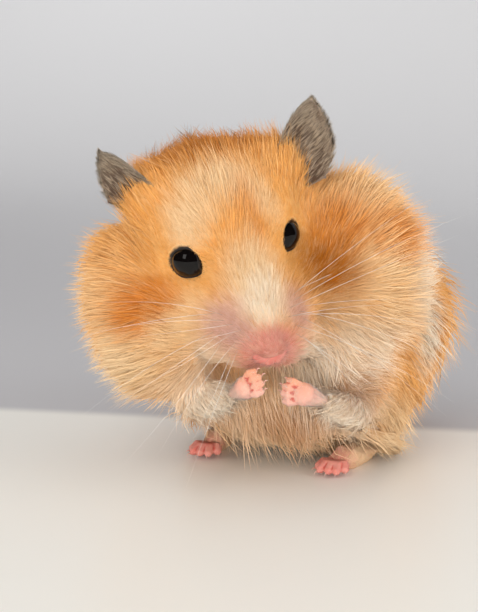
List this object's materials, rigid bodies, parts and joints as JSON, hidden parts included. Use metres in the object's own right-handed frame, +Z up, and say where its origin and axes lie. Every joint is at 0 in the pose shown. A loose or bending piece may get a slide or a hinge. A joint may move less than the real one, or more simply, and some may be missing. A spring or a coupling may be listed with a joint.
{
  "type": "syrian hamster",
  "caption": "Life-size golden Syrian hamster sitting up on its haunches, cheek pouches full, head turned to its left and both hands at its mouth.",
  "frame": {"origin": "middle of the animal's box, on the floor it sits on", "axes": "+Z up, -Y the way the trunk faces, +X the animal's left"},
  "size_m": [0.0754, 0.098, 0.0832],
  "materials": {
    "fur": "soft golden fur, deeper orange on the back and cheeks",
    "pale_fur": "soft cream fur",
    "pink_skin": "thin pink skin with sparse pale hairs",
    "ear_skin": "thin grey-brown skin with fine pale hairs",
    "eye": "wet, glossy, near black",
    "claw": "translucent horn"
  },
  "bodies": {
    "root": {"cheek_left": "fur", "cheek_right": "fur", "claw_foot_left_1": "claw", "claw_foot_left_2": "claw", "claw_foot_left_3": "claw", "claw_foot_left_4": "claw", "claw_foot_left_5": "claw", "claw_foot_right_1": "claw", "claw_foot_right_2": "claw", "claw_foot_right_3": "claw", "claw_foot_right_4": "claw", "claw_foot_right_5": "claw", "claw_hand_left_1": "claw", "claw_hand_left_2": "claw", "claw_hand_left_3": "claw", "claw_hand_left_4": "claw", "claw_hand_right_1": "claw", "claw_hand_right_2": "claw", "claw_hand_right_3": "claw", "claw_hand_right_4": "claw", "ear_left": "ear_skin", "ear_right": "ear_skin", "eye_left": "eye", "eye_right": "eye", "foot_left": "pink_skin", "foot_right": "pink_skin", "forearm_left": "pale_fur", "forearm_right": "pale_fur", "hand_left": "pink_skin", "hand_right": "pink_skin", "head": "fur", "lower_jaw": "pale_fur", "muzzle": "pale_fur", "neck": "fur", "nose": "pink_skin", "rump": "fur", "tail": "pink_skin", "thigh_left": "fur", "thigh_right": "fur", "trunk": "fur", "upper_arm_left": "pale_fur", "upper_arm_right": "pale_fur"}
  },
  "joints": []
}
